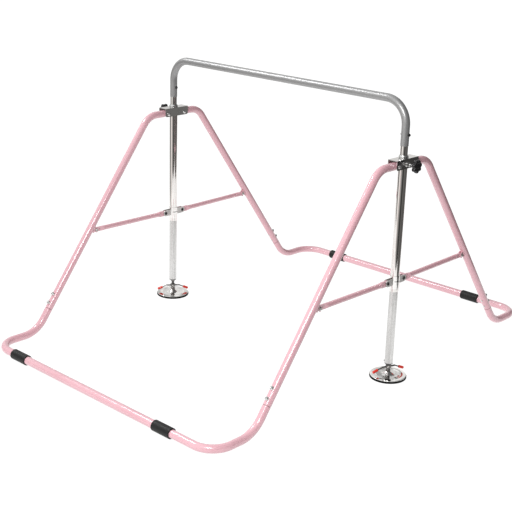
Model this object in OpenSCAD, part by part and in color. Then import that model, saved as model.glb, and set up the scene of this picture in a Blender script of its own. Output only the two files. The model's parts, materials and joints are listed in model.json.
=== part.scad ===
// Folding kip bar for practising swings at home: a height-adjustable grip bar on two
// telescopic uprights, held up by four folding legs on a floor frame.
// Millimetres. Z is up, X runs along the grip bar, the front is -Y.
// The origin is on the floor, midway between the uprights.

/* [Uprights] */
// Half the distance between the upright centre lines
half_w = 625; // [450:5:800]
// Height of the grip bar's centre line, at the lowest setting
bar_z = 1090; // [950:1:1200]
// Outer diameter of the upper (outer) upright tube
upper_d = 35; // [30:0.5:45]
// Outer diameter of the lower upright tube
lower_d = 33; // [28:0.5:43]
// Outer diameter of the telescopic neck tube
neck_d = 29; // [24:0.5:38]
// Wall of the neck tube
neck_t = 1.5; // [1:0.1:3]
// Height of the upper tube's lower end
upper_z0 = 358; // [300:1:420]
// Height of the lower tube's lower end
lower_z0 = 60; // [50:1:90]
// How much further the left foot is screwed out
left_out = 15; // [0:1:25]

/* [Grip bar] */
// Outer diameter of the grip bar
grip_d = 31; // [28:0.5:42]
// Bend radius of the grip bar's two corners
grip_r = 90; // [50:1:150]
// Height of the lower end of the grip bar's posts
post_z0 = 925; // [900:1:950]
// Height of the bolts through the posts
post_bolt_z = 967; // [940:1:990]
// Travel of the height adjustment
travel = 350; // [100:10:400]
// Distance between the height-setting holes in the neck tubes
hole_pitch = 50; // [25:5:100]

/* [Brackets] */
// Height of the bracket's top face
bracket_top = 880; // [860:1:900]
// Height of the bracket's side plates
bracket_h = 37; // [30:1:50]
// Length of the bracket, front to back
bracket_l = 132; // [100:1:160]
// Width of the bracket over its side plates
bracket_w = 42; // [38:0.5:55]
// Plate thickness
plate_t = 2.5; // [1.5:0.1:4]
// Distance of each leg pivot from the upright's centre line
pivot_y = 46; // [36:1:60]
// Height of the leg pivots
pivot_z = 855; // [840:1:870]
// Height of the knob's centre
knob_z = 858.6; // [850:0.1:870]

/* [Legs] */
// Outer diameter of the leg and corner tubes
leg_d = 31; // [25:0.5:40]
// Wall of the leg tubes
leg_t = 1.5; // [1:0.1:3]
// Height of the leg's short level length
stub_z = 855.75; // [845:0.25:865]
// Distance out to the apex of the upper bend
apex_a = 146.1; // [120:0.1:180]
// Distance out to the apex of the lower bend
apex_b = 768.1; // [600:0.1:850]
// Distance out to the front or back tube of the floor frame
base_y = 964.5; // [800:0.5:1100]
// Height of the floor frame's centre line
base_z = 20.5; // [18:0.5:30]
// Radius of the upper bend
bend_a = 84; // [60:1:120]
// Radius of the lower bend
bend_b = 122; // [80:1:160]
// Radius of the floor frame's corners
bend_c = 87; // [60:1:120]
// Height at which the corner tube plugs into the leg
split_z = 108; // [95:1:140]

/* [Floor frame] */
// Outer diameter of the front and back tubes
base_d = 33; // [28:0.5:43]
// Outer diameter of the rubber sleeves
sleeve_d = 41; // [36:0.5:50]
// Length of the rubber sleeves
sleeve_l = 90; // [60:1:130]
// Centres of the front sleeves along X, left then right
sleeve_front = [-455, 383];
// Centres of the back sleeves along X, left then right
sleeve_back = [-422, 378];

/* [Struts] */
// Outer diameter of the struts
strut_d = 20; // [16:0.5:24]
// Distance of the collar pivots from the upright's centre line
ear_y = 50; // [40:1:60]
// Height of the collar pivots
ear_z = 400; // [380:1:420]
// Distance of the leg lug's pivot from the upright's centre line
lug_y = 448; // [420:1:470]
// Height of the leg lug's pivot
lug_z = 404; // [390:1:420]
// Thickness of the strut's flattened ends
flat_t = 8; // [5:0.5:10]

/* [Feet] */
// Radius of the foot disc
foot_r = 73; // [50:1:90]
// Height of the rubber cup
cup_h = 9; // [4:0.5:12]

/* [Hidden] */
$fn = 72;
leg_a = atan2(stub_z - base_z, apex_b - apex_a);
leg_len = sqrt(pow(stub_z - base_z, 2) + pow(apex_b - apex_a, 2));
tan_a = bend_a * tan(leg_a / 2);
tan_b = bend_b * tan(leg_a / 2);
split_s = (stub_z - split_z) / sin(leg_a);
strut_a = atan2(lug_z - ear_z, lug_y - ear_y);
strut_l = sqrt(pow(lug_z - ear_z, 2) + pow(lug_y - ear_y, 2));
upper_id = lower_d + 0.1;
upper_top = bracket_top;
bush_id = neck_d + 0.14;
neck_z0 = 430;
neck_z1 = 985;
lap = 2;
insert_d = leg_d - 2 * leg_t - 0.1;
bolt_s = [23, 63];
// The lug pivot, measured along the leg from the upper apex and square to it, inwards
lug_s = (lug_y - apex_a) * cos(leg_a) + (stub_z - lug_z) * sin(leg_a);
lug_n = (stub_z - lug_z) * cos(leg_a) - (lug_y - apex_a) * sin(leg_a);

// ---------- shared shapes ----------

// A hollow tube along +Z
module pipe(d, id, h) {
  difference() {
    cylinder(d = d, h = h);
    translate([0, 0, -1]) cylinder(d = id, h = h + 2);
  }
}

// A hollow bend in the XY plane about the origin, from angle a0, turning through da.
// It is a hair thicker than its tube, and the straights run a little way into it.
module elbow(d, id, r, a0, da) {
  rotate([0, 0, a0]) rotate_extrude(angle = da) translate([r, 0]) difference() {
    circle(d = d + 0.24);
    circle(d = id - 0.24);
  }
}

// Moves a child along +X to the right side, or mirrors it to the left
module side(sx) {
  if (sx > 0) translate([half_w, 0, 0]) children();
  else mirror([1, 0, 0]) translate([half_w, 0, 0]) children();
}

// Keeps a child at the back, or mirrors it to the front
module depth(sy) {
  if (sy > 0) children();
  else mirror([0, 1, 0]) children();
}

// Turns a shape drawn in XY (out, up) and raised along Z into the YZ plane of one side frame
module upright_plane() { rotate([90, 0, 90]) children(); }

// Puts a child on the leg's slope: +X runs down the leg, +Y points in under the leg
module on_leg(s, n) {
  upright_plane() translate([apex_a, stub_z, 0]) rotate([0, 0, -leg_a])
    mirror([0, 1, 0]) translate([s, n, 0]) children();
}

// Puts a child on a strut: +X runs out from the collar's pivot to the leg's pivot
module on_strut() {
  upright_plane() translate([ear_y, ear_z, 0]) rotate([0, 0, strut_a]) children();
}

// A low round head on Z = 0, with its edge broken
module head(d, h) {
  cylinder(d = d, h = h * 0.5);
  translate([0, 0, h * 0.5]) cylinder(d1 = d, d2 = d * 0.62, h = h * 0.5);
}

// A taller head with a round socket in its top
module ringed_head(d, h, socket) {
  difference() {
    union() {
      cylinder(d = d, h = h * 0.6);
      translate([0, 0, h * 0.6]) cylinder(d1 = d, d2 = d * 0.7, h = h * 0.4);
    }
    translate([0, 0, h * 0.45]) cylinder(d = socket, h = h);
  }
}

// A hexagonal nut with a through hole
module hex_nut(af, h, hole) {
  difference() {
    cylinder(d = af / cos(30), h = h, $fn = 6);
    translate([0, 0, -1]) cylinder(d = hole, h = h + 2);
  }
}

// ---------- grip bar and necks ----------

module grip_bar() {
  gid = neck_d + 0.1;
  color("silver") difference() {
    union() {
      for (sx = [-1, 1]) side(sx) translate([0, 0, post_z0])
        pipe(grip_d, gid, bar_z - grip_r - post_z0 + lap);
      translate([-half_w + grip_r - lap, 0, bar_z]) rotate([0, 90, 0])
        pipe(grip_d, gid, 2 * (half_w - grip_r + lap));
      translate([half_w - grip_r, 0, bar_z - grip_r]) rotate([90, 0, 0])
        elbow(grip_d, gid, grip_r, 0, 90);
      translate([-half_w + grip_r, 0, bar_z - grip_r]) rotate([90, 0, 0])
        elbow(grip_d, gid, grip_r, 90, 90);
    }
    for (x = [-half_w, half_w]) translate([x - 30, 0, post_bolt_z]) rotate([0, 90, 0])
      cylinder(d = 6.4, h = 60);
  }
}

module post_bolts() {
  color("dimgray") for (x = [-half_w, half_w]) translate([x, 0, post_bolt_z]) {
    translate([-grip_d / 2 - 3, 0, 0]) rotate([0, 90, 0]) cylinder(d = 6, h = grip_d + 3.3);
    translate([grip_d / 2 + 0.2, 0, 0]) rotate([0, 90, 0]) head(12, 6.4);
    translate([-grip_d / 2 - 0.2, 0, 0]) rotate([0, -90, 0]) head(9.5, 3.4);
  }
}

module neck() {
  translate([0, 0, neck_z0]) difference() {
    pipe(neck_d, neck_d - 2 * neck_t, neck_z1 - neck_z0);
    translate([-30, 0, post_bolt_z - neck_z0]) rotate([0, 90, 0]) cylinder(d = 6.4, h = 60);
    for (i = [0 : 8]) translate([0, 0, knob_z - neck_z0 - i * hole_pitch])
      rotate([0, 90, 0]) cylinder(d = 8.6, h = 30);
  }
}

module neck_left() { color("gainsboro") side(-1) neck(); }
module neck_right() { color("gainsboro") side(1) neck(); }

// ---------- uprights ----------

module guide_bushes() {
  color("darkgray") for (sx = [-1, 1]) side(sx) translate([0, 0, upper_top]) difference() {
    union() {
      cylinder(d = upper_d + 2.4, h = 6);
      translate([0, 0, 6]) cylinder(d1 = upper_d + 2.4, d2 = upper_d - 2.6, h = 5);
      translate([0, 0, -16]) cylinder(d = upper_id - 0.06, h = 17);
    }
    translate([0, 0, -17]) cylinder(d = bush_id, h = 40);
  }
}

module upper_tube() {
  difference() {
    translate([0, 0, upper_z0]) pipe(upper_d, upper_id, upper_top - upper_z0);
    translate([0, 0, knob_z]) rotate([0, 90, 0]) cylinder(d = 9.4, h = 30);
  }
}

module upper_tube_left() { color("gainsboro") side(-1) upper_tube(); }
module upper_tube_right() { color("gainsboro") side(1) upper_tube(); }

// The lower tube is swaged a little at its top, where it plugs into the upper one
module lower_tube(z0) {
  translate([0, 0, z0]) pipe(lower_d, lower_d - 3, 420 - z0);
}

module lower_tube_left() { color("gainsboro") side(-1) lower_tube(lower_z0 + left_out); }
module lower_tube_right() { color("gainsboro") side(1) lower_tube(lower_z0); }

// ---------- brackets ----------

module bracket_cheek() {
  r = 9;
  hl = bracket_l / 2;
  z0 = bracket_top - bracket_h;
  upright_plane() difference() {
    linear_extrude(plate_t) union() {
      translate([-hl, z0 + r]) square([bracket_l, bracket_h - r]);
      translate([-hl + r, z0]) square([bracket_l - 2 * r, bracket_h]);
      for (s = [-1, 1]) translate([s * (hl - r), z0 + r]) circle(r = r);
    }
    for (s = [-1, 1]) translate([s * pivot_y, pivot_z, -1]) cylinder(d = 8.2, h = 9);
  }
}

module bracket() {
  hw = bracket_w / 2;
  difference() {
    union() {
      translate([hw - plate_t, 0, 0]) bracket_cheek();
      translate([-hw, 0, 0]) bracket_cheek();
      translate([-hw, -bracket_l / 2, bracket_top - plate_t]) cube([2 * hw, bracket_l, plate_t]);
    }
    translate([0, 0, bracket_top - 10]) cylinder(d = upper_d + 0.2, h = 20);
    translate([0, 0, knob_z]) rotate([0, 90, 0]) cylinder(d = 9.4, h = 30);
  }
}

module bracket_left() { color("slategray") side(-1) bracket(); }
module bracket_right() { color("slategray") side(1) bracket(); }

// Bolts through each bracket: a domed head on the inner side, a ringed end on the outer
module bracket_bolts() {
  hw = bracket_w / 2;
  color("silver") for (sx = [-1, 1], sy = [-1, 1]) side(sx)
    translate([0, sy * pivot_y, pivot_z]) {
      translate([-hw - 1, 0, 0]) rotate([0, 90, 0]) cylinder(d = 8, h = 2 * hw + 2);
      translate([-hw, 0, 0]) rotate([0, -90, 0]) {
        head(14, 4.4);
        translate([0, 0, 4]) cylinder(d1 = 8.6, d2 = 4, h = 1.4);
      }
      translate([hw, 0, 0]) rotate([0, 90, 0]) difference() {
        union() {
          cylinder(d = 14, h = 1.2);
          cylinder(d = 12.4, h = 4);
        }
        translate([0, 0, 1.2]) cylinder(d = 6, h = 4);
      }
    }
}

module pivot_washers() {
  inner = bracket_w / 2 - plate_t;
  color("silver") for (sx = [-1, 1], sy = [-1, 1], s = [-1, 1]) side(sx)
    translate([s * (inner + leg_d / 2 + 0.2) / 2, sy * pivot_y, pivot_z]) rotate([0, 90, 0])
      translate([0, 0, -1.3]) difference() {
        cylinder(d = 18, h = 2.6);
        translate([0, 0, -1]) cylinder(d = 8.2, h = 5);
      }
}

// ---------- height knobs ----------

module knob_bosses() {
  color("silver") for (sx = [-1, 1]) side(sx)
    translate([bracket_w / 2, 0, knob_z]) rotate([0, 90, 0]) {
      difference() {
        cylinder(d = 20, h = 2.5);
        translate([0, 0, -1]) cylinder(d = 8.12, h = 6);
      }
      translate([0, 0, 2.5]) hex_nut(15, 8.5, 8.12);
      translate([0, 0, 11]) difference() {
        cylinder(d = 12, h = 3.5);
        translate([0, 0, -1]) cylinder(d = 8.12, h = 6);
      }
    }
}

// Star knob with seven lobes, a waisted back and a shallow dish in its face
module knob() {
  translate([45, 0, knob_z]) rotate([0, 90, 0]) difference() {
    union() {
      cylinder(d1 = 19, d2 = 26, h = 9);
      translate([0, 0, 8]) cylinder(d = 40, h = 16);
      for (i = [0 : 6]) rotate([0, 0, i * 360 / 7 + 12]) translate([18.2, 0, 8]) {
        cylinder(d1 = 11, d2 = 15.4, h = 3.4);
        translate([0, 0, 3.4]) cylinder(d = 15.4, h = 9.2);
        translate([0, 0, 12.6]) cylinder(d1 = 15.4, d2 = 12, h = 2.6);
      }
    }
    translate([0, 0, -1]) cylinder(d = 8.1, h = 15);
    for (i = [0 : 6]) rotate([0, 0, (i + 0.5) * 360 / 7 + 12]) translate([27.5, 0, 5])
      cylinder(d = 15, h = 22);
    translate([0, 0, 22.6]) cylinder(d1 = 22, d2 = 26, h = 2);
  }
}

module knob_left() { color("black") side(-1) knob(); }
module knob_right() { color("black") side(1) knob(); }

module knob_screw() {
  tip = neck_d / 2 + 0.3;
  translate([tip, 0, knob_z]) rotate([0, 90, 0]) {
    cylinder(d1 = 6, d2 = 8, h = 1);
    translate([0, 0, 1]) cylinder(d = 8, h = 57 - tip);
  }
}

module knob_screw_left() { color("silver") side(-1) knob_screw(); }
module knob_screw_right() { color("silver") side(1) knob_screw(); }

// ---------- collars ----------

// One ear plate of a collar, standing out from the band to the strut's pivot
module ear_plate() {
  upright_plane() difference() {
    linear_extrude(3) union() {
      translate([upper_d / 2 + 0.3, ear_z - 13.5]) square([ear_y - upper_d / 2 - 0.3, 27]);
      translate([ear_y, ear_z]) circle(d = 27);
    }
    translate([ear_y, ear_z, -1]) cylinder(d = 8.2, h = 6);
  }
}

module collar() {
  gap = flat_t / 2 + 0.4;
  difference() {
    union() {
      translate([0, 0, 372]) pipe(upper_d + 4, upper_d + 0.1, 49);
      for (sy = [-1, 1]) depth(sy) {
        translate([gap, 0, 0]) ear_plate();
        translate([-gap - 3, 0, 0]) ear_plate();
      }
    }
    translate([0, 0, 400]) difference() {
      cylinder(d = upper_d + 9, h = 2.6);
      translate([0, 0, -1]) cylinder(d = upper_d + 1, h = 5);
      for (sy = [-1, 1]) translate([-12, sy * 22 - 8, -1]) cube([24, 16, 5]);
    }
  }
}

module collar_left() { color("darkgray") side(-1) collar(); }
module collar_right() { color("darkgray") side(1) collar(); }

// Tubular rivets through the ears, open at both ends
module collar_rivets() {
  out = flat_t / 2 + 3.4;
  color("silver") for (sx = [-1, 1], sy = [-1, 1]) side(sx) translate([0, sy * ear_y, ear_z])
    rotate([0, 90, 0]) difference() {
      union() {
        translate([0, 0, -out - 1]) cylinder(d = 8, h = 2 * out + 2);
        translate([0, 0, out]) cylinder(d1 = 15, d2 = 12, h = 2);
        translate([0, 0, -out - 2]) cylinder(d1 = 12, d2 = 15, h = 2);
      }
      translate([0, 0, -30]) cylinder(d = 5.4, h = 60);
    }
}

// ---------- struts ----------

// The flattened end of a strut: an eye, a flat tongue of width w and a taper out to the round tube
module strut_end(eye_d, w) {
  translate([0, 0, -flat_t / 2]) linear_extrude(flat_t) difference() {
    union() {
      circle(d = w);
      translate([0, -w / 2]) square([30, w]);
    }
    circle(d = eye_d);
    translate([w / 2 + 10, 0]) circle(d = 5);
  }
  intersection() {
    translate([0, 15, 0]) rotate([90, 0, 0]) linear_extrude(30)
      polygon([[26, -3.2], [26, 3.2], [46, 11.2], [46, -11.2]]);
    translate([27, 0, 0]) rotate([0, 90, 0]) cylinder(d1 = w + 2.6, d2 = strut_d + 0.5, h = 18.6);
  }
}

module strut() {
  on_strut() {
    strut_end(8.1, 23);
    translate([strut_l, 0, 0]) rotate([0, 0, 180]) strut_end(6.1, 18);
    difference() {
      translate([44, 0, 0]) rotate([0, 90, 0]) pipe(strut_d, strut_d - 2.4, strut_l - 88);
      translate([strut_l / 2, 0, 0]) rotate([90, 0, 0]) cylinder(d = 3, h = 20);
    }
  }
}

module strut_front_left() { color("pink") side(-1) depth(-1) strut(); }
module strut_front_right() { color("pink") side(1) depth(-1) strut(); }
module strut_back_left() { color("pink") side(-1) depth(1) strut(); }
module strut_back_right() { color("pink") side(1) depth(1) strut(); }

// The pin in a strut's outer end, with a head on each side of the leg's lug
module strut_pin() {
  out = flat_t / 2 + 3.8;
  on_strut() translate([strut_l, 0, 0]) {
    translate([0, 0, -out - 1]) cylinder(d = 6, h = 2 * out + 2);
    translate([0, 0, out]) ringed_head(13, 4.4, 5);
    translate([0, 0, -out]) mirror([0, 0, 1]) ringed_head(13, 4.4, 5);
  }
}

module strut_pin_front_left() { color("silver") side(-1) depth(-1) strut_pin(); }
module strut_pin_front_right() { color("silver") side(1) depth(-1) strut_pin(); }
module strut_pin_back_left() { color("silver") side(-1) depth(1) strut_pin(); }
module strut_pin_back_right() { color("silver") side(1) depth(1) strut_pin(); }

// ---------- legs and floor frame ----------

// The leg ends 2 mm short of the corner tube's shoulder, which leaves a ring round the spigot
module leg() {
  id = leg_d - 2 * leg_t;
  difference() {
    upright_plane() {
      translate([34, stub_z, 0]) rotate([0, 90, 0])
        pipe(leg_d, id, apex_a - tan_a - 34 + lap);
      translate([apex_a - tan_a, stub_z - bend_a, 0]) elbow(leg_d, id, bend_a, 90 - leg_a, leg_a);
      translate([apex_a, stub_z, 0]) rotate([0, 0, -leg_a])
        translate([tan_a - lap, 0, 0]) rotate([0, 90, 0]) pipe(leg_d, id, split_s - tan_a + lap - 2);
    }
    translate([-30, pivot_y, pivot_z]) rotate([0, 90, 0]) cylinder(d = 8.1, h = 60);
    for (s = bolt_s) on_leg(split_s - s, 0) rotate([90, 0, 0]) translate([0, 0, -30])
      cylinder(d = 6.4, h = 60);
  }
}

module leg_front_left() { color("pink") side(-1) depth(-1) leg(); }
module leg_front_right() { color("pink") side(1) depth(-1) leg(); }
module leg_back_left() { color("pink") side(-1) depth(1) leg(); }
module leg_back_right() { color("pink") side(1) depth(1) leg(); }

// A channel welded under the leg; its cheeks are slotted down the leg to let the pin go
module lug() {
  gap = flat_t / 2 + 0.4;
  on_leg(lug_s, 0) {
    difference() {
      translate([-10, leg_d / 2 - 1.2, -gap - 3]) cube([28, 3.4, 2 * gap + 6]);
      rotate([0, 90, 0]) translate([0, 0, -20]) cylinder(d = leg_d, h = 50);
    }
    for (z = [gap, -gap - 3]) translate([0, 0, z]) difference() {
      linear_extrude(3) union() {
        translate([-10, leg_d / 2]) square([28, lug_n - leg_d / 2]);
        translate([0, lug_n]) circle(r = 10);
        translate([0, leg_d / 2 + 1]) square([9, lug_n - leg_d / 2 + 9]);
      }
      translate([0, lug_n, -1]) cylinder(d = 6.6, h = 5);
      translate([0, lug_n, -1]) linear_extrude(5)
        polygon([[0, -3.3], [0, 3.3], [22, 3.6], [22, -5]]);
      translate([0, 0, -1]) linear_extrude(5)
        polygon([[-12, lug_n + 12], [-12, lug_n + 2], [-4, lug_n + 12]]);
    }
  }
}

module lugs_front() { color("pink") for (sx = [-1, 1]) side(sx) depth(-1) lug(); }
module lugs_back() { color("pink") for (sx = [-1, 1]) side(sx) depth(1) lug(); }

// The corner tube: a spigot inside the leg, the lower bend, the floor run and the turn
// inwards. It ends inside the front or back tube, past the sleeve's centre xs.
module corner(xs) {
  id = leg_d - 2 * leg_t;
  difference() {
    union() {
      upright_plane() {
        translate([apex_a, stub_z, 0]) rotate([0, 0, -leg_a]) {
          translate([split_s, 0, 0]) rotate([0, 90, 0])
            pipe(leg_d, id - 2.4, leg_len - tan_b - split_s + lap);
          translate([split_s - 76, 0, 0]) rotate([0, 90, 0]) pipe(insert_d, id - 2.4, 76.5);
        }
        translate([apex_b + tan_b, base_z + bend_b, 0])
          elbow(leg_d, id - 2.4, bend_b, 270 - leg_a, leg_a);
        translate([apex_b + tan_b - lap, base_z, 0]) rotate([0, 90, 0])
          pipe(leg_d, id - 2.4, base_y - bend_c - apex_b - tan_b + 2 * lap);
      }
      translate([-bend_c, base_y - bend_c, base_z]) elbow(leg_d, id - 2.4, bend_c, 0, 90);
      translate([-bend_c + lap, base_y, base_z]) rotate([0, -90, 0])
        pipe(leg_d, id - 2.4, half_w - bend_c - xs + 45 + lap);
    }
    for (s = bolt_s) on_leg(split_s - s, 0) rotate([90, 0, 0]) translate([0, 0, -30])
      cylinder(d = 6.4, h = 60);
  }
}

module corner_front_left() { color("pink") side(-1) depth(-1) corner(-sleeve_front[0]); }
module corner_front_right() { color("pink") side(1) depth(-1) corner(sleeve_front[1]); }
module corner_back_left() { color("pink") side(-1) depth(1) corner(-sleeve_back[0]); }
module corner_back_right() { color("pink") side(1) depth(1) corner(sleeve_back[1]); }

module base_tube(xs) {
  translate([xs[0], base_y, base_z]) rotate([0, 90, 0]) pipe(base_d, leg_d + 0.1, xs[1] - xs[0]);
}

module base_tube_front() { color("pink") depth(-1) base_tube(sleeve_front); }
module base_tube_back() { color("pink") depth(1) base_tube(sleeve_back); }

// Rubber sleeves over the joints, stepped inside where the two tube sizes meet
module sleeves(xs) {
  for (i = [0, 1]) translate([xs[i], base_y, base_z]) rotate([0, i == 0 ? -90 : 90, 0])
    difference() {
      union() {
        translate([0, 0, -sleeve_l / 2 + 1.5]) cylinder(d = sleeve_d, h = sleeve_l - 3);
        translate([0, 0, sleeve_l / 2 - 1.5])
          cylinder(d1 = sleeve_d, d2 = sleeve_d - 3, h = 1.5);
        translate([0, 0, -sleeve_l / 2]) cylinder(d1 = sleeve_d - 3, d2 = sleeve_d, h = 1.5);
      }
      translate([0, 0, -sleeve_l]) cylinder(d = base_d + 0.1, h = sleeve_l);
      translate([0, 0, -1]) cylinder(d = leg_d + 0.1, h = sleeve_l);
    }
}

module sleeves_front() { color("black") depth(-1) sleeves(sleeve_front); }
module sleeves_back() { color("black") depth(1) sleeves(sleeve_back); }

// Bolts square to the leg, through leg and spigot
module leg_bolts() {
  for (sx = [-1, 1], s = bolt_s) side(sx) on_leg(split_s - s, 0) rotate([90, 0, 0]) {
    translate([0, 0, -leg_d / 2 - 1.4]) cylinder(d = 6, h = leg_d + 2.4);
    translate([0, 0, leg_d / 2 + 0.2]) ringed_head(15.5, 7.4, 6);
    translate([0, 0, -leg_d / 2 - 1.6]) cylinder(d = 10, h = 1.4);
  }
}

module leg_bolts_front() { color("silver") depth(-1) leg_bolts(); }
module leg_bolts_back() { color("silver") depth(1) leg_bolts(); }

// ---------- feet ----------

// The left foot is screwed out a little further than the right one
function out(sx) = sx < 0 ? left_out : 0;

module foot_plugs() {
  color("black") for (sx = [-1, 1]) side(sx) translate([0, 0, lower_z0 + out(sx)]) difference() {
    union() {
      translate([0, 0, -3]) cylinder(d = lower_d, h = 3);
      cylinder(d = lower_d - 3.1, h = 22);
    }
    translate([0, 0, -4]) cylinder(d = 12.1, h = 40);
  }
}

module foot_studs() {
  color("dimgray") for (sx = [-1, 1]) side(sx) translate([0, 0, 14]) cylinder(d = 12, h = 72 + out(sx));
}

// A dark nut under the end plug and a collar above the disc's cone
module foot_collars() {
  color("dimgray") for (sx = [-1, 1]) side(sx) {
    translate([0, 0, 49.5 + out(sx)]) hex_nut(17, 7.5, 12.1);
    translate([0, 0, 22]) hex_nut(17, 8, 12.1);
    translate([0, 0, 30]) difference() {
      cylinder(d = 15, h = 8);
      translate([0, 0, -1]) cylinder(d = 12.1, h = 10);
    }
  }
}

// The hand lever on the stud: two long opposite arms that droop and a short third one that rises.
// Each arm is a stub with a slightly thinner rod set into its end.
module foot_arms() {
  difference() {
    union() {
      translate([0, 0, 38.4]) cylinder(d = 22, h = 10.6);
      for (s = [0, 180]) rotate([0, 0, s]) {
        translate([8, 0, 42.5]) rotate([0, 90, 0]) cylinder(d = 7, h = 22);
        translate([28.8, 0, 42.5]) rotate([0, 112, 0]) cylinder(d = 5, h = 38.5);
      }
      rotate([0, 0, 78]) {
        translate([8, 0, 43.5]) rotate([0, 90, 0]) cylinder(d = 6.2, h = 20);
        translate([27.5, 0, 43.5]) rotate([0, 80, 0]) cylinder(d = 5.2, h = 22.5);
      }
    }
    translate([0, 0, 30]) cylinder(d = 12.12, h = 30);
  }
}

module foot_tips() {
  for (s = [0, 180]) rotate([0, 0, s])
    translate([28.8, 0, 42.5]) rotate([0, 112, 0]) rotate_extrude() polygon([
      [2.53, 20], [4.6, 20], [5.4, 21], [5.5, 24], [5.5, 40], [5.2, 42.2], [4.2, 43.8], [2.4, 44.4],
      [0, 44.5], [0, 38.6], [2.53, 38.6]
    ]);
}

module arms_left() { translate([-half_w, 0, 0]) rotate([0, 0, 53]) children(); }
module arms_right() { translate([half_w, 0, 0]) rotate([0, 0, 68.4]) children(); }

module foot_arms_left() { color("dimgray") arms_left() foot_arms(); }
module foot_arms_right() { color("dimgray") arms_right() foot_arms(); }
module foot_tips_left() { color("red") arms_left() foot_tips(); }
module foot_tips_right() { color("red") arms_right() foot_tips(); }

// Pressed steel disc: rolled rim, flat, raised cone and a collar round the stud
module foot_disc() {
  rotate_extrude() polygon([
    [6.1, 18.6], [6.1, 21.6], [10, 21.6], [13.5, 18.5], [22, 12.4], [27, 10.6], [46, 10.2],
    [52, 12.6], [58, 12.8], [foot_r - 6, 11.6], [foot_r - 2.4, 11], [foot_r - 1.4, 10],
    [foot_r - 1.4, cup_h], [foot_r - 6, cup_h], [58, 10.8], [52, 10.6], [46, 8.2],
    [26, 8.6], [20.6, 10.6], [12.6, 16.2], [9, 18.6]
  ]);
}

module foot_disc_left() { color("gainsboro") side(-1) foot_disc(); }
module foot_disc_right() { color("gainsboro") side(1) foot_disc(); }

module foot_cup() {
  rotate_extrude() polygon([
    [0, 4], [0, 7.6], [45, 7.6], [51.6, 9.9], [57.6, 9.9], [foot_r - 6.4, cup_h - 0.4],
    [foot_r - 0.8, cup_h - 0.4], [foot_r, cup_h - 1.2], [foot_r, 1], [foot_r - 0.8, 0],
    [foot_r - 8, 0], [40, 3.2]
  ]);
}

module foot_cup_left() { color("black") side(-1) foot_cup(); }
module foot_cup_right() { color("black") side(1) foot_cup(); }

// ---------- the whole bar, or one node ----------

grip_bar();
post_bolts();
neck_left();
neck_right();
guide_bushes();
upper_tube_left();
upper_tube_right();
lower_tube_left();
lower_tube_right();
bracket_left();
bracket_right();
bracket_bolts();
pivot_washers();
knob_bosses();
knob_left();
knob_right();
knob_screw_left();
knob_screw_right();
collar_left();
collar_right();
collar_rivets();
strut_front_left();
strut_front_right();
strut_back_left();
strut_back_right();
strut_pin_front_left();
strut_pin_front_right();
strut_pin_back_left();
strut_pin_back_right();
leg_front_left();
leg_front_right();
leg_back_left();
leg_back_right();
lugs_front();
lugs_back();
corner_front_left();
corner_front_right();
corner_back_left();
corner_back_right();
base_tube_front();
base_tube_back();
sleeves_front();
sleeves_back();
leg_bolts_front();
leg_bolts_back();
foot_plugs();
foot_studs();
foot_collars();
foot_arms_left();
foot_arms_right();
foot_tips_left();
foot_tips_right();
foot_disc_left();
foot_disc_right();
foot_cup_left();
foot_cup_right();
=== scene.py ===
"""Looks for the folding kip bar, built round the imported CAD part. Metres; Z up; X along the bar."""
import json
import math

import bpy
from mathutils import Matrix, Vector

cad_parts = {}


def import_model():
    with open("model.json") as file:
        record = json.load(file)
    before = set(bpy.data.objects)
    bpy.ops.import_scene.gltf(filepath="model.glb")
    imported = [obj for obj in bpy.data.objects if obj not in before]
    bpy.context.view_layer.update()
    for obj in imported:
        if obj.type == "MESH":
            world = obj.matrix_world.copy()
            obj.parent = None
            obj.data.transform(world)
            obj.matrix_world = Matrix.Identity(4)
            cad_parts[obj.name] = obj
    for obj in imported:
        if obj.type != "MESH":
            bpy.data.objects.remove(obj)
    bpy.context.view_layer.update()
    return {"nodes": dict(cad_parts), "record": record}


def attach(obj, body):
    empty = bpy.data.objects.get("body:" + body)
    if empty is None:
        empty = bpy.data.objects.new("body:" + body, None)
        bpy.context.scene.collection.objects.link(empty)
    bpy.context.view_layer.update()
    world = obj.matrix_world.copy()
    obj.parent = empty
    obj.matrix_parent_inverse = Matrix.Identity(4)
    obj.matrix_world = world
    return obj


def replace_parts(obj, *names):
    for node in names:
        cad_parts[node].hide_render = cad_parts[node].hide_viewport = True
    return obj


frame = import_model()
N = frame["nodes"]

W = 0.625  # half the distance between the uprights
KNOB_Z = 0.8586  # height of the knobs' axis
COLLAR_GROOVE_Z = 0.4013  # middle of the groove round each collar
# A leg's centre line runs from its upper apex to its lower one, and meets the corner tube at SPLIT_Z
APEX_Y, APEX_Z = 0.1461, 0.85575
LOWER_Y, LOWER_Z = 0.7681, 0.0205
SPLIT_Z = 0.108
SLOPE = math.atan2(APEX_Z - LOWER_Z, LOWER_Y - APEX_Y)

# ---------------------------------------------------------------- node helpers


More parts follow.
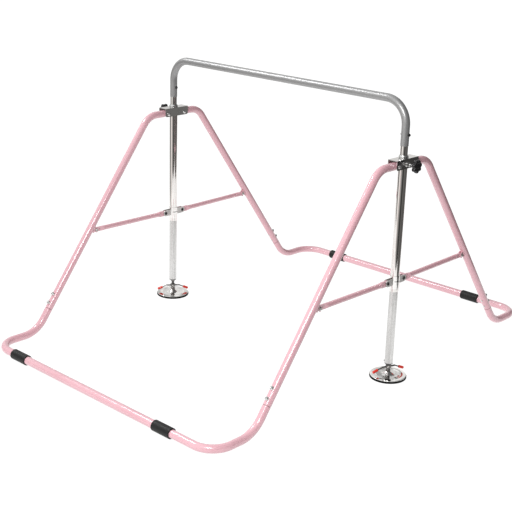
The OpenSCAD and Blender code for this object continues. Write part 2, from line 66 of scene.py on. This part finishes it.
class Mat:
    """A small builder for one procedural material."""

    def __init__(self, name):
        self.m = bpy.data.materials.new(name)
        self.m.use_nodes = True
        self.t = self.m.node_tree
        self.t.nodes.clear()
        out = self.t.nodes.new("ShaderNodeOutputMaterial")
        self.bsdf = self.t.nodes.new("ShaderNodeBsdfPrincipled")
        self.link(self.bsdf.outputs["BSDF"], out.inputs["Surface"])
        tc = self.t.nodes.new("ShaderNodeTexCoord")
        self.obj = tc.outputs["Object"]

    def link(self, a, b):
        self.t.links.new(a, b)

    def set(self, **kw):
        for k, v in kw.items():
            self.bsdf.inputs[k.replace("_", " ")].default_value = v
        return self

    def put(self, value, socket):
        if isinstance(value, (int, float, tuple)):
            socket.default_value = value
        else:
            self.link(value, socket)

    def noise(self, scale, detail=3.0, rough=0.55, stretch=(1, 1, 1), dist=0.0):
        src = self.obj
        if stretch != (1, 1, 1):
            mp = self.t.nodes.new("ShaderNodeMapping")
            mp.inputs["Scale"].default_value = stretch
            self.link(self.obj, mp.inputs["Vector"])
            src = mp.outputs["Vector"]
        n = self.t.nodes.new("ShaderNodeTexNoise")
        n.inputs["Scale"].default_value = scale
        n.inputs["Detail"].default_value = detail
        n.inputs["Roughness"].default_value = rough
        n.inputs["Distortion"].default_value = dist
        self.link(src, n.inputs["Vector"])
        return n.outputs["Fac"]

    def voronoi(self, scale, feature="F1"):
        n = self.t.nodes.new("ShaderNodeTexVoronoi")
        n.feature = feature
        n.inputs["Scale"].default_value = scale
        self.link(self.obj, n.inputs["Vector"])
        return n.outputs["Distance"]

    def span(self, fac, a, b, lo=0.0, hi=1.0):
        n = self.t.nodes.new("ShaderNodeMapRange")
        n.inputs["From Min"].default_value = a
        n.inputs["From Max"].default_value = b
        n.inputs["To Min"].default_value = lo
        n.inputs["To Max"].default_value = hi
        self.link(fac, n.inputs["Value"])
        return n.outputs["Result"]

    def math(self, op, a, b=0.0):
        n = self.t.nodes.new("ShaderNodeMath")
        n.operation = op
        self.put(a, n.inputs[0])
        self.put(b, n.inputs[1])
        return n.outputs[0]

    def mix(self, fac, a, b):
        n = self.t.nodes.new("ShaderNodeMix")
        n.data_type = "RGBA"
        self.put(fac, n.inputs["Factor"])
        for sock, v in (("A", a), ("B", b)):
            s = [i for i in n.inputs if i.name == sock and i.type == "RGBA"][0]
            self.put((*v, 1) if isinstance(v, tuple) else v, s)
        return [o for o in n.outputs if o.type == "RGBA"][0]

    def bands(self, axis, pitch):
        """Even ridges along an axis, one to each pitch."""
        unscaled = 0.314159  # a ridge's width at scale 1
        n = self.t.nodes.new("ShaderNodeTexWave")
        n.bands_direction = axis
        n.inputs["Scale"].default_value = unscaled / pitch
        self.link(self.obj, n.inputs["Vector"])
        return n.outputs["Fac"]

    def bump(self, height, strength, distance, before=None):
        n = self.t.nodes.new("ShaderNodeBump")
        n.inputs["Strength"].default_value = strength
        n.inputs["Distance"].default_value = distance
        self.link(height, n.inputs["Height"])
        if before is not None:
            self.link(before, n.inputs["Normal"])
        return n.outputs["Normal"]

    def axis(self, i):
        n = self.t.nodes.new("ShaderNodeSeparateXYZ")
        self.link(self.obj, n.inputs[0])
        return n.outputs[i]

    def down_leg(self):
        """How far down the leg a point lies, from the upper apex."""
        y = self.math("SUBTRACT", self.math("ABSOLUTE", self.axis(1)), APEX_Y)
        z = self.math("SUBTRACT", APEX_Z, self.axis(2))
        outward = self.math("MULTIPLY", y, math.cos(SLOPE))
        return self.math("ADD", outward, self.math("MULTIPLY", z, math.sin(SLOPE)))

    def color(self, v):
        self.link(v, self.bsdf.inputs["Base Color"])

    def rough(self, v):
        self.link(v, self.bsdf.inputs["Roughness"])

    def normal(self, v):
        self.link(v, self.bsdf.inputs["Normal"])


def pink_paint(name="pink_paint", painted_seam_shade=False):
    """Glossy powder coat: orange peel, a faint drift of tone, dull rubs; optionally a line of painted shade
    in the gap where a leg meets its corner tube.
    """
    k = Mat(name)
    drift = k.noise(3.1, 2.0)
    fine = k.noise(60, 4.0)
    base = k.mix(k.span(drift, 0.3, 0.7), (0.685, 0.376, 0.424), (0.740, 0.432, 0.482))
    base = k.mix(k.math("MULTIPLY", k.span(fine, 0.35, 0.75), 0.10), base, (0.77, 0.52, 0.56))
    if painted_seam_shade:
        # Painted shade: a darker pink line in the gap where the leg's end meets the corner tube.
        joint = (APEX_Z - SPLIT_Z) / math.sin(SLOPE) - 0.0010
        off = k.math("ABSOLUTE", k.math("SUBTRACT", k.down_leg(), joint))
        base = k.mix(k.span(off, 0.0019, 0.0009), base, (0.36, 0.18, 0.20))
    k.color(base)
    rub = k.span(k.noise(9, 5.0, 0.6), 0.55, 0.75, 0.0, 0.12)
    k.rough(k.math("ADD", k.span(fine, 0.3, 0.7, 0.20, 0.27), rub))
    peel = k.bump(k.voronoi(520, "SMOOTH_F1"), 0.05, 0.0005)
    k.normal(k.bump(k.noise(1500, 2.0), 0.03, 0.0002, peel))
    return k.set(IOR=1.5, Coat_Weight=0.6, Coat_Roughness=0.09).m


def grey_paint():
    """Satin grey coat of the grip bar, with a fine texture and hand-worn drift."""
    k = Mat("satin_grey")
    along = k.noise(5.0, 3.0, stretch=(0.4, 1, 1))
    fine = k.noise(240, 5.0, 0.7)
    base = k.mix(k.span(along, 0.3, 0.7), (0.285, 0.287, 0.292), (0.340, 0.340, 0.339))
    base = k.mix(k.math("MULTIPLY", k.span(fine, 0.4, 0.7), 0.35), base, (0.41, 0.41, 0.405))
    k.color(base)
    k.rough(k.math("ADD", k.span(fine, 0.3, 0.7, 0.30, 0.40), k.span(along, 0.3, 0.7, 0.0, 0.06)))
    k.normal(k.bump(fine, 0.16, 0.0004, k.bump(k.voronoi(900), 0.05, 0.0004)))
    return k.set(Metallic=0.5, Coat_Weight=0.2, Coat_Roughness=0.20).m


def chrome(name, tint, rough=(0.035, 0.085)):
    """Bright plate: faint drawing lines under a cloudy haze."""
    k = Mat(name)
    haze = k.noise(14, 5.0, 0.6)
    lines = k.noise(160, 3.0, stretch=(1, 1, 0.02))
    k.color(k.mix(k.span(haze, 0.3, 0.7), tint, tuple(t * 0.90 for t in tint)))
    r = k.span(haze, 0.3, 0.75, rough[0], rough[1])
    k.rough(k.math("ADD", r, k.span(lines, 0.45, 0.8, 0.0, 0.03)))
    k.normal(k.bump(lines, 0.03, 0.0002, k.bump(k.noise(45, 2.0), 0.02, 0.0008)))
    return k.set(Metallic=1.0).m


def drawn_tube(name):
    """Satin plate on drawn tube: long streaks down its length, specks and cloudy patches."""
    k = Mat(name)
    streak = k.noise(95, 4.0, 0.6, stretch=(1, 1, 0.035))
    speck = k.noise(240, 3.0, 0.6, stretch=(1, 1, 0.45))
    cloud = k.noise(22, 4.0, 0.6)
    base = k.mix(k.span(streak, 0.36, 0.64), (0.46, 0.455, 0.445), (0.72, 0.715, 0.705))
    base = k.mix(k.math("MULTIPLY", k.span(speck, 0.50, 0.68), 0.5), base, (0.40, 0.39, 0.38))
    k.color(k.mix(k.math("MULTIPLY", k.span(cloud, 0.35, 0.7), 0.4), base, (0.58, 0.57, 0.56)))
    k.rough(k.math("ADD", k.span(streak, 0.3, 0.7, 0.12, 0.22), k.span(speck, 0.4, 0.8, 0.0, 0.10)))
    k.normal(k.bump(streak, 0.10, 0.0003, k.bump(speck, 0.10, 0.0004)))
    return k.set(Metallic=1.0).m


def metal(name, c0, c1, r0, r1, thread=None):
    """Plated or bare steel with a grainy, slightly uneven finish. A thread is an axis and a pitch."""
    k = Mat(name)
    cloud = k.noise(70, 4.0)
    fine = k.noise(400, 4.0, 0.65)
    k.color(k.mix(k.span(cloud, 0.3, 0.7), c0, c1))
    k.rough(k.math("ADD", k.span(fine, 0.3, 0.7, r0, r1), k.span(cloud, 0.4, 0.8, 0.0, 0.08)))
    grain = k.bump(fine, 0.15, 0.0003)
    if thread:
        axis, pitch = thread
        grain = k.bump(k.bands(axis, pitch), 0.9, pitch * 0.5, grain)
    k.normal(grain)
    return k.set(Metallic=1.0).m


def plastic(name, c0, c1, r0, r1, grain=700, bump=0.2, coat=0.0, spec=0.5):
    """Moulded plastic or rubber with a spark-eroded grain and a little bloom."""
    k = Mat(name)
    bloom = k.noise(30, 4.0)
    fine = k.noise(grain, 3.0, 0.6)
    k.color(k.mix(k.span(bloom, 0.35, 0.7), c0, c1))
    k.rough(k.math("ADD", k.span(fine, 0.3, 0.7, r0, r1), k.span(bloom, 0.4, 0.8, 0.0, 0.07)))
    k.normal(k.bump(fine, bump, 0.0004))
    return k.set(Coat_Weight=coat, Coat_Roughness=0.15, Specular_IOR_Level=spec).m


def collar_finish(name):
    """Zinc-plated pressing: the band round the upright is polished, the ears are satin; painted shade darkens
    the groove round the collar.
    """
    k = Mat(name)
    cloud, fine = k.noise(70, 4.0), k.noise(420, 4.0, 0.65)
    x = k.math("SUBTRACT", k.math("ABSOLUTE", k.axis(0)), W)
    y = k.axis(1)
    r = k.math("SQRT", k.math("ADD", k.math("MULTIPLY", x, x), k.math("MULTIPLY", y, y)))
    band = k.span(r, 0.0215, 0.0205)
    c = k.mix(k.span(cloud, 0.3, 0.7), (0.60, 0.585, 0.57), (0.48, 0.47, 0.455))
    c = k.mix(band, c, (0.88, 0.865, 0.845))
    # Painted shade: a near-black line in the groove where the collar's halves meet.
    off = k.math("ABSOLUTE", k.math("SUBTRACT", k.axis(2), COLLAR_GROOVE_Z))
    groove_shade_mask = k.math("MULTIPLY", k.span(off, 0.0019, 0.0013), k.span(r, 0.0195, 0.0190))
    k.color(k.mix(groove_shade_mask, c, (0.02, 0.02, 0.02)))
    satin = k.math("ADD", k.span(fine, 0.3, 0.7, 0.24, 0.34), k.span(cloud, 0.4, 0.8, 0.0, 0.08))
    polish = k.span(cloud, 0.3, 0.75, 0.06, 0.12)
    ears = k.math("MULTIPLY", satin, k.math("SUBTRACT", 1.0, band))
    k.rough(k.math("ADD", ears, k.math("MULTIPLY", polish, band)))
    k.normal(k.bump(fine, 0.12, 0.0003))
    return k.set(Metallic=1.0).m


def disc_finish(name):
    """Chrome on pressed sheet: the surface rolls a little under fine grain and cloudy smears."""
    k = Mat(name)
    haze, roll = k.noise(26, 5.0, 0.6), k.noise(34, 2.0, 0.5, dist=0.6)
    k.color(k.mix(k.span(haze, 0.3, 0.7), (0.86, 0.85, 0.83), (0.72, 0.71, 0.69)))
    k.rough(k.span(haze, 0.3, 0.75, 0.03, 0.09))
    k.normal(k.bump(roll, 0.45, 0.0022, k.bump(k.noise(300, 2.0), 0.02, 0.0002)))
    return k.set(Metallic=1.0).m


MATS = {
    "pink_paint": pink_paint(),
    "pink_corner": pink_paint("pink_corner", True),
    "satin_grey": grey_paint(),
    "chrome_tube": chrome("chrome_tube", (0.86, 0.835, 0.81)),
    "satin_tube": drawn_tube("satin_tube"),
    "dark_chrome": chrome("dark_chrome", (0.74, 0.73, 0.72), (0.07, 0.15)),
    "disc_chrome": disc_finish("disc_chrome"),
    "bright_hardware": metal("bright_hardware", (0.80, 0.80, 0.79), (0.70, 0.70, 0.69), 0.14, 0.24),
    "zinc_collar": collar_finish("zinc_collar"),
    "black_steel": metal("black_steel", (0.035, 0.035, 0.036), (0.06, 0.06, 0.06), 0.26, 0.38),
    "dark_steel": metal("dark_steel", (0.16, 0.16, 0.155), (0.27, 0.26, 0.25), 0.24, 0.40),
    "thread_x": metal("thread_x", (0.72, 0.72, 0.71), (0.60, 0.60, 0.59), 0.18, 0.28, ("X", 0.00125)),
    "thread_z": metal("thread_z", (0.20, 0.195, 0.19), (0.30, 0.29, 0.28), 0.24, 0.38, ("Z", 0.00175)),
    "black_plastic": plastic("black_plastic", (0.007, 0.007, 0.008), (0.014, 0.014, 0.015), 0.28, 0.38),
    "red_plastic": plastic("red_plastic", (0.62, 0.022, 0.012), (0.72, 0.045, 0.02), 0.22, 0.30,
                           grain=300, bump=0.06, coat=0.3),
    "cup_rubber": plastic("cup_rubber", (0.004, 0.004, 0.004), (0.008, 0.008, 0.0078), 0.50, 0.64,
                          grain=300, spec=0.12),
    "black_rubber": plastic("black_rubber", (0.005, 0.005, 0.005), (0.009, 0.0088, 0.0085), 0.42, 0.56,
                            grain=500, bump=0.25, spec=0.32),
}
SLOT = {s["node"]: s["material_slot"] for s in frame["record"]["subparts"]}


def paint(obj, slot):
    obj.data.materials.clear()
    obj.data.materials.append(MATS[slot])


for name, obj in N.items():
    if obj.type == "MESH":
        paint(obj, SLOT[name])
# Nodes whose finish differs from that of their slot
FINISH = {
    "knob_screw_left": "thread_x", "knob_screw_right": "thread_x", "foot_studs": "thread_z",
    "lower_tube_left": "satin_tube", "lower_tube_right": "satin_tube",
    "foot_disc_left": "disc_chrome", "foot_disc_right": "disc_chrome",
    "foot_cup_left": "cup_rubber", "foot_cup_right": "cup_rubber",
    "corner_front_left": "pink_corner", "corner_front_right": "pink_corner",
    "corner_back_left": "pink_corner", "corner_back_right": "pink_corner",
    "post_bolts": "black_steel", "collar_rivets": "black_steel",
}
for name, finish in FINISH.items():
    paint(N[name], finish)

# ---------------------------------------------------------------- pieces made here


def mesh_object(name, verts, faces, slot, body):
    me = bpy.data.meshes.new(name)
    me.from_pydata(verts, [], faces)
    me.validate()
    me.shade_smooth()
    ob = bpy.data.objects.new(name, me)
    bpy.context.scene.collection.objects.link(ob)
    paint(ob, slot)
    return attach(ob, body)


def tube_faces(count, n):
    """The faces of a closed skin over so many rings of n points."""
    faces = []
    for i in range(count - 1):
        for j in range(n):
            k = (j + 1) % n
            faces.append((i * n + j, i * n + k, (i + 1) * n + k, (i + 1) * n + j))
    faces.append(tuple(range(n - 1, -1, -1)))
    faces.append(tuple((count - 1) * n + j for j in range(n)))
    return faces


def star_knob(side, sx):
    """Soft lobes on a waisted hub, with a dished face and a small raised centre."""
    lobes, sharp, turn, n = 7, 1.6, 0.20, 196

    def lobed(r_in, r_out):
        def radius(a):
            c = 0.5 + 0.5 * math.cos(lobes * a)
            return r_in + (r_out - r_in) * c ** (1 / sharp)
        return radius

    def plain(r):
        return lambda a: r

    # Each ring's distance from the upright's axis, and its radius round the knob
    rings = [
        (0.0452, plain(0.0072)), (0.0452, plain(0.0090)), (0.0460, plain(0.0096)),
        (0.0500, plain(0.0108)), (0.0526, plain(0.0128)), (0.0534, lobed(0.0150, 0.0172)),
        (0.0538, lobed(0.0172, 0.0222)), (0.0546, lobed(0.0186, 0.0244)), (0.0560, lobed(0.0194, 0.0255)),
        (0.0580, lobed(0.0198, 0.0260)), (0.0640, lobed(0.0198, 0.0260)), (0.0664, lobed(0.0193, 0.0254)),
        (0.0680, lobed(0.0183, 0.0241)), (0.0689, lobed(0.0168, 0.0218)), (0.0692, lobed(0.0150, 0.0182)),
        (0.0690, plain(0.0142)), (0.0682, plain(0.0128)), (0.0678, plain(0.0112)),
        (0.0678, plain(0.0076)), (0.0684, plain(0.0068)), (0.0688, plain(0.0052)),
        (0.0689, plain(0.0020)),
    ]

    verts = []
    for axial, radius in rings:
        for a in (2 * math.pi * j / n for j in range(n)):
            r, b = radius(a), a * sx + turn
            verts.append((sx * (W + axial), r * math.cos(b), KNOB_Z + r * math.sin(b)))
    faces = tube_faces(len(rings), n)
    ob = mesh_object(f"star_knob_{side}", verts, faces, "black_plastic", f"knob_{side}")
    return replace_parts(ob, f"knob_{side}")


def bead(name, path, radius, slot, body):
    """A weld bead: a small round run with the ripples that a torch leaves."""
    step, lump, m = 0.0011, 0.16, 10
    pts = [Vector(p) for p in path]
    run = []
    for a, b in zip(pts, pts[1:]):
        n = max(2, int((b - a).length / step))
        run += [a.lerp(b, i / n) for i in range(n)]
    run.append(pts[-1])
    verts = []
    for i, p in enumerate(run):
        d = (run[min(i + 1, len(run) - 1)] - run[max(i - 1, 0)]).normalized()
        u = d.orthogonal().normalized()
        v = d.cross(u)
        end = min(i, len(run) - 1 - i)
        r = radius * (1 + lump * math.sin(i * 1.9)) * min(1.0, 0.35 + 0.35 * end)
        for j in range(m):
            a = 2 * math.pi * j / m
            verts.append(tuple(p + (u * math.cos(a) + v * math.sin(a)) * r))
    return mesh_object(name, verts, tube_faces(len(run), m), slot, body)


def on_leg(sx, sy, s, n, x):
    """A point s down the leg from its upper apex, n in under its centre line, x across."""
    y = APEX_Y + s * math.cos(SLOPE) - n * math.sin(SLOPE)
    z = APEX_Z - s * math.sin(SLOPE) - n * math.cos(SLOPE)
    return (sx * (W + x), sy * y, z)


def lug_welds():
    """Two beads where each lug meets the underside of its leg."""
    under, across, top, bottom = 0.0142, 0.0078, 0.5335, 0.5600
    for sx, side in ((-1, "left"), (1, "right")):
        for sy, end in ((-1, "front"), (1, "back")):
            for x, face in ((-across, "in"), (across, "out")):
                path = [on_leg(sx, sy, s, under, x) for s in (top, bottom)]
                bead(f"lug_weld_{end}_{side}_{face}", path, 0.0016, "pink_paint", f"{end}_frame")


star_knob("left", -1)
star_knob("right", 1)
lug_welds()

# ---------------------------------------------------------------- floor, lights, camera

FWD = Vector((-0.6815, 0.7318, 0.0))  # level direction of view
RGT = Vector((0.7318, 0.6815, 0.0))  # level direction to the right


def at(r, f, z=0.0):
    """A point in the studio: r to the right of the origin, f beyond it."""
    return RGT * r + FWD * f + Vector((0, 0, z))


def floor():
    """Plain pale paper that gives off most of its own light, cut off a little outside the view."""
    near, far = -1.75, 42.0
    outline = [at(-1.35, near), at(1.15, near), at(13.5, far), at(-13.5, far)]
    me = bpy.data.meshes.new("floor")
    me.from_pydata([tuple(p) for p in outline], [], [(0, 1, 2, 3)])
    ob = bpy.data.objects.new("floor", me)
    bpy.context.scene.collection.objects.link(ob)
    k = Mat("floor_paper")
    k.color(k.mix(k.span(k.noise(2.0, 4.0), 0.3, 0.7), (0.09, 0.09, 0.09), (0.10, 0.10, 0.10)))
    k.normal(k.bump(k.noise(300, 3.0), 0.03, 0.0005))
    k.set(Roughness=0.75, Emission_Color=(1, 1, 1, 1), Emission_Strength=0.97)
    me.materials.append(k.m)


def world():
    """A ring of brighter and darker stretches for the chrome to reflect, one low down and one overhead."""
    w = bpy.data.worlds.new("studio")
    bpy.context.scene.world = w
    w.use_nodes = True
    t = w.node_tree
    t.nodes.clear()

    def node(kind, **kw):
        n = t.nodes.new(kind)
        for k, v in kw.items():
            setattr(n, k, v)
        return n

    def math_(op, a, b=0.0, clamp=False):
        n = node("ShaderNodeMath", operation=op, use_clamp=clamp)
        for i, v in enumerate((a, b)):
            if isinstance(v, (int, float)):
                n.inputs[i].default_value = v
            else:
                t.links.new(v, n.inputs[i])
        return n.outputs[0]

    tc = node("ShaderNodeTexCoord")
    sep = node("ShaderNodeSeparateXYZ")
    t.links.new(tc.outputs["Generated"], sep.inputs[0])
    x, y, z = sep.outputs
    right = math_("ADD", math_("MULTIPLY", x, RGT.x), math_("MULTIPLY", y, RGT.y))
    ahead = math_("ADD", math_("MULTIPLY", x, FWD.x), math_("MULTIPLY", y, FWD.y))
    turn = math_("ADD", math_("DIVIDE", math_("ARCTAN2", right, ahead), 2 * math.pi), 0.5)

    def ring(stops, warm=0.0):
        """Brightness round the studio: 0 and 1 lie behind the camera, 0.25 to its left, 0.75 to its right."""
        ramp = node("ShaderNodeValToRGB")
        e = ramp.color_ramp.elements
        while len(e) > 1:
            e.remove(e[-1])
        for i, (p, v) in enumerate(stops):
            k = e[0] if i == 0 else e.new(p)
            k.position, k.color = p, (v, v * (1 - 0.4 * warm), v * (1 - warm), 1)
        t.links.new(turn, ramp.inputs["Fac"])
        return ramp.outputs["Color"]

    low = ring([
        (0.000, 0.10), (0.030, 0.20), (0.065, 0.36), (0.100, 0.55), (0.145, 1.00), (0.190, 1.00),
        (0.225, 0.32), (0.275, 0.18), (0.315, 0.20), (0.350, 0.30), (0.390, 0.62), (0.430, 1.05),
        (0.470, 1.10), (0.490, 0.60), (0.515, 1.10), (0.560, 1.00), (0.605, 0.12), (0.680, 0.06),
        (0.725, 0.05), (0.742, 0.18), (0.765, 0.18), (0.785, 0.05), (0.830, 0.12), (0.895, 0.16),
        (0.935, 0.04), (0.975, 0.04), (1.000, 0.10),
    ], 0.05)
    high = ring([
        (0.00, 0.42), (0.15, 0.86), (0.35, 0.84), (0.42, 0.70), (0.445, 1.10), (0.47, 0.40), (0.495, 1.10),
        (0.515, 0.34), (0.535, 1.10), (0.56, 0.60), (0.60, 0.14), (0.85, 0.12), (1.00, 0.42),
    ])
    up = math_("MULTIPLY", math_("ADD", z, -0.05), 2.6, clamp=True)
    mix = node("ShaderNodeMix", data_type="RGBA")
    t.links.new(up, mix.inputs["Factor"])
    ab = [i for i in mix.inputs if i.type == "RGBA"]
    t.links.new(low, ab[0])
    t.links.new(high, ab[1])
    bg = node("ShaderNodeBackground")
    bg.inputs["Strength"].default_value = 1.0
    t.links.new([o for o in mix.outputs if o.type == "RGBA"][0], bg.inputs["Color"])
    out = node("ShaderNodeOutputWorld")
    t.links.new(bg.outputs[0], out.inputs[0])


def softbox(name, place, aim, size, power):
    """A rectangular area light, turned to face a point."""
    la = bpy.data.lights.new(name, "AREA")
    la.shape = "RECTANGLE"
    la.size, la.size_y, la.energy = size[0], size[1], power
    ob = bpy.data.objects.new(name, la)
    ob.location = place
    ob.rotation_mode = "QUATERNION"
    ob.rotation_quaternion = (Vector(aim) - Vector(place)).to_track_quat("-Z", "Y")
    bpy.context.scene.collection.objects.link(ob)


def camera():
    """It stands in front of the bar and to the right, looks down at it and rolls by under two degrees."""
    place = (2.9237, -3.2470, 1.8020)
    right = Vector((0.72487, 0.68830, 0.02838)).normalized()
    ahead = Vector((-0.64638, 0.69381, -0.31753)).normalized()
    up = right.cross(ahead).normalized()
    turn = Matrix((right, up, -ahead)).transposed()
    cam = bpy.data.objects.new("camera", bpy.data.cameras.new("camera"))
    bpy.context.scene.collection.objects.link(cam)
    cam.matrix_world = Matrix.Translation(place) @ turn.to_4x4()
    cam.data.lens, cam.data.sensor_width = 77.07, 36.0
    cam.data.clip_start, cam.data.clip_end = 0.05, 60
    bpy.context.scene.camera = cam
    bpy.context.scene.view_settings.view_transform = "Standard"


floor()
world()
softbox("key", at(-3.3, 0.9, 4.3), (0, 0, 0.7), (1.3, 1.3), 90)
softbox("front", at(-0.75, -3.2, 2.45), (0, 0, 0.4), (1.17, 0.72), 78)
camera()
